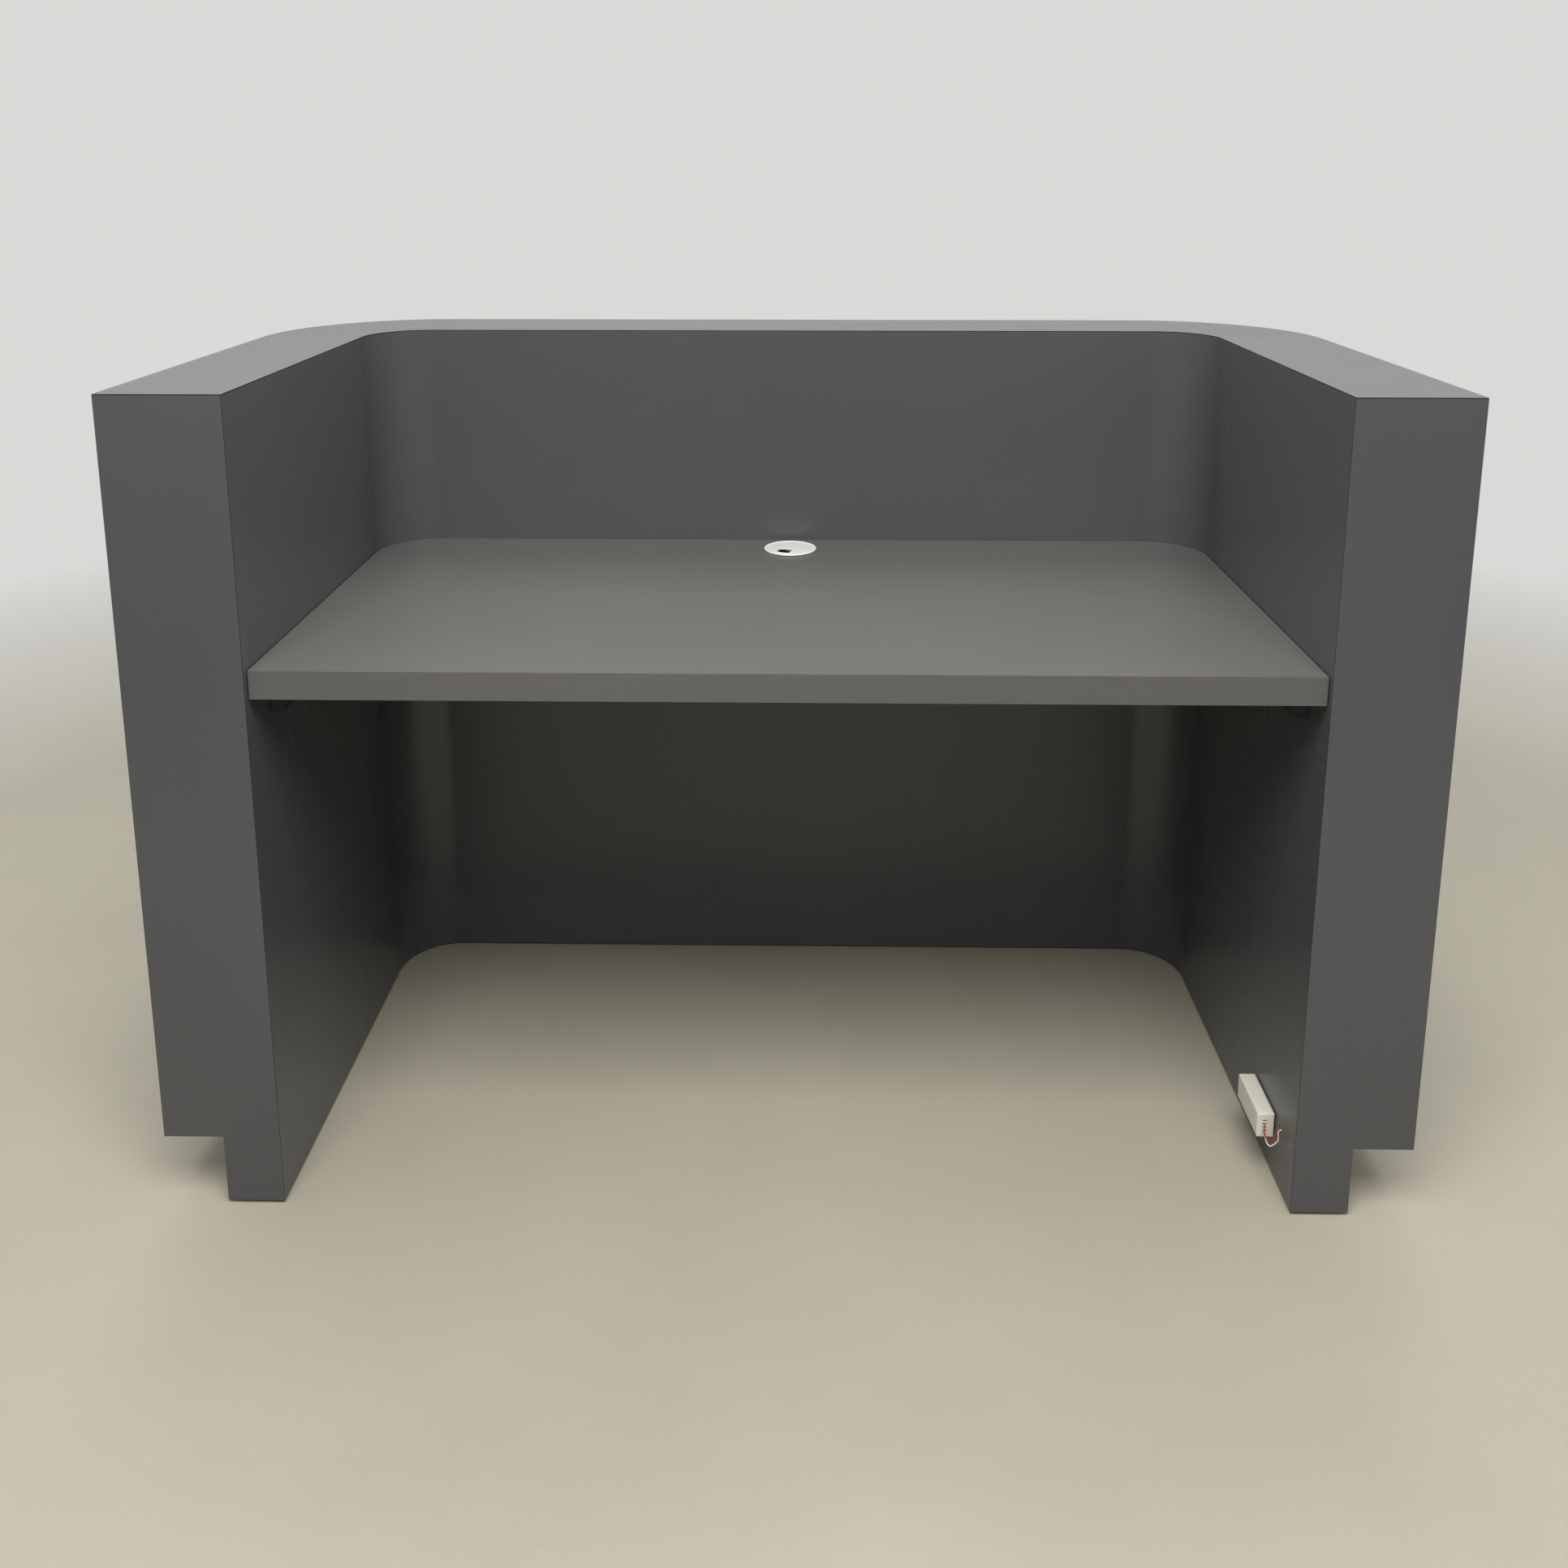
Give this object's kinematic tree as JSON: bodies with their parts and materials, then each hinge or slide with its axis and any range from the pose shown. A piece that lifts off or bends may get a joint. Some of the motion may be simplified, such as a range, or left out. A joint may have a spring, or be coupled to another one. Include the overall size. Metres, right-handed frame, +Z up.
{
  "type": "service counter",
  "caption": "U-shaped laminated service counter with a raised surround, a recessed worktop with a round cable grommet, an open knee space, a recessed toe kick and levelling feet.",
  "frame": {"origin": "on the floor, under the middle of the counter's outline", "axes": "+Z up; -Y towards the open side where the operator sits, +Y towards the customer; +X to the right of someone looking in through the open side"},
  "size_m": [1.676, 0.8, 1.118],
  "materials": {
    "dark_laminate": "satin",
    "worktop_laminate": "satin",
    "plywood": "matte",
    "stained_wood": "matte",
    "white_plastic": "semi-gloss",
    "driver_plastic": "satin",
    "black_plastic": "satin",
    "circuit_board": "semi-gloss",
    "foam_tape": "matte",
    "red_insulation": "semi-gloss",
    "white_insulation": "semi-gloss",
    "aluminium": "anodised",
    "light_strip": "satin",
    "diffuser": "satin",
    "foot_plastic": "satin",
    "zinc": "zinc plated"
  },
  "bodies": {
    "counter": {"outer_laminate": "dark_laminate", "inner_laminate": "dark_laminate", "toe_laminate": "dark_laminate", "top_laminate": "dark_laminate", "left_end_laminate": "dark_laminate", "right_end_laminate": "dark_laminate", "worktop_laminate": "worktop_laminate", "worktop_backing": "worktop_laminate", "worktop_edging": "worktop_laminate", "outer_panel": "plywood", "inner_panel": "plywood", "toe_panel": "plywood", "top_board": "plywood", "middle_former": "plywood", "soffit_board": "plywood", "base_board": "plywood", "left_end_board": "plywood", "right_end_board": "plywood", "worktop_board": "plywood", "lower_stud_left_front": "plywood", "lower_stud_left_rear": "plywood", "lower_stud_back_left": "plywood", "lower_stud_back_right": "plywood", "lower_stud_right_rear": "plywood", "lower_stud_right_front": "plywood", "upper_stud_left_front": "plywood", "upper_stud_left_rear": "plywood", "upper_stud_back_left": "plywood", "upper_stud_back_right": "plywood", "upper_stud_right_rear": "plywood", "upper_stud_right_front": "plywood", "left_cleat": "stained_wood", "right_cleat": "stained_wood", "back_cleat": "stained_wood", "grommet_liner": "white_plastic", "driver_case": "driver_plastic", "driver_cover": "driver_plastic", "driver_terminals": "black_plastic", "driver_circuit_board": "circuit_board", "driver_tape": "foam_tape", "red_lead": "red_insulation", "white_lead": "white_insulation", "light_channel": "aluminium", "light_strip": "light_strip", "light_diffuser": "diffuser", "insert_left_front": "zinc", "insert_left_rear": "zinc", "insert_back_left": "zinc", "insert_back_right": "zinc", "insert_right_rear": "zinc", "insert_right_front": "zinc"},
    "grommet_cap": {"grommet_cap": "white_plastic", "grommet_pivot": "white_plastic"},
    "grommet_shutter": {"grommet_shutter": "white_plastic"},
    "foot_left_front": {"foot_left_front": "foot_plastic"},
    "foot_left_rear": {"foot_left_rear": "foot_plastic"},
    "foot_back_left": {"foot_back_left": "foot_plastic"},
    "foot_back_right": {"foot_back_right": "foot_plastic"},
    "foot_right_rear": {"foot_right_rear": "foot_plastic"},
    "foot_right_front": {"foot_right_front": "foot_plastic"}
  },
  "joints": [
    {"name": "cap_lift", "type": "slide", "parent": "counter", "child": "grommet_cap", "axis": [0, 0, 1], "range_m": [0, 0.06]},
    {"name": "shutter_turn", "type": "hinge", "parent": "grommet_cap", "child": "grommet_shutter", "pos_m": [0, 0.182, 0.7603], "axis": [0, 0, -1], "range_deg": [0, 110]},
    {"name": "foot_left_front_height", "type": "slide", "parent": "counter", "child": "foot_left_front", "axis": [0, 0, -1], "range_m": [0, 0.012]},
    {"name": "foot_left_rear_height", "type": "slide", "parent": "counter", "child": "foot_left_rear", "axis": [0, 0, -1], "range_m": [0, 0.012]},
    {"name": "foot_back_left_height", "type": "slide", "parent": "counter", "child": "foot_back_left", "axis": [0, 0, -1], "range_m": [0, 0.012]},
    {"name": "foot_back_right_height", "type": "slide", "parent": "counter", "child": "foot_back_right", "axis": [0, 0, -1], "range_m": [0, 0.012]},
    {"name": "foot_right_rear_height", "type": "slide", "parent": "counter", "child": "foot_right_rear", "axis": [0, 0, -1], "range_m": [0, 0.012]},
    {"name": "foot_right_front_height", "type": "slide", "parent": "counter", "child": "foot_right_front", "axis": [0, 0, -1], "range_m": [0, 0.012]}
  ]
}
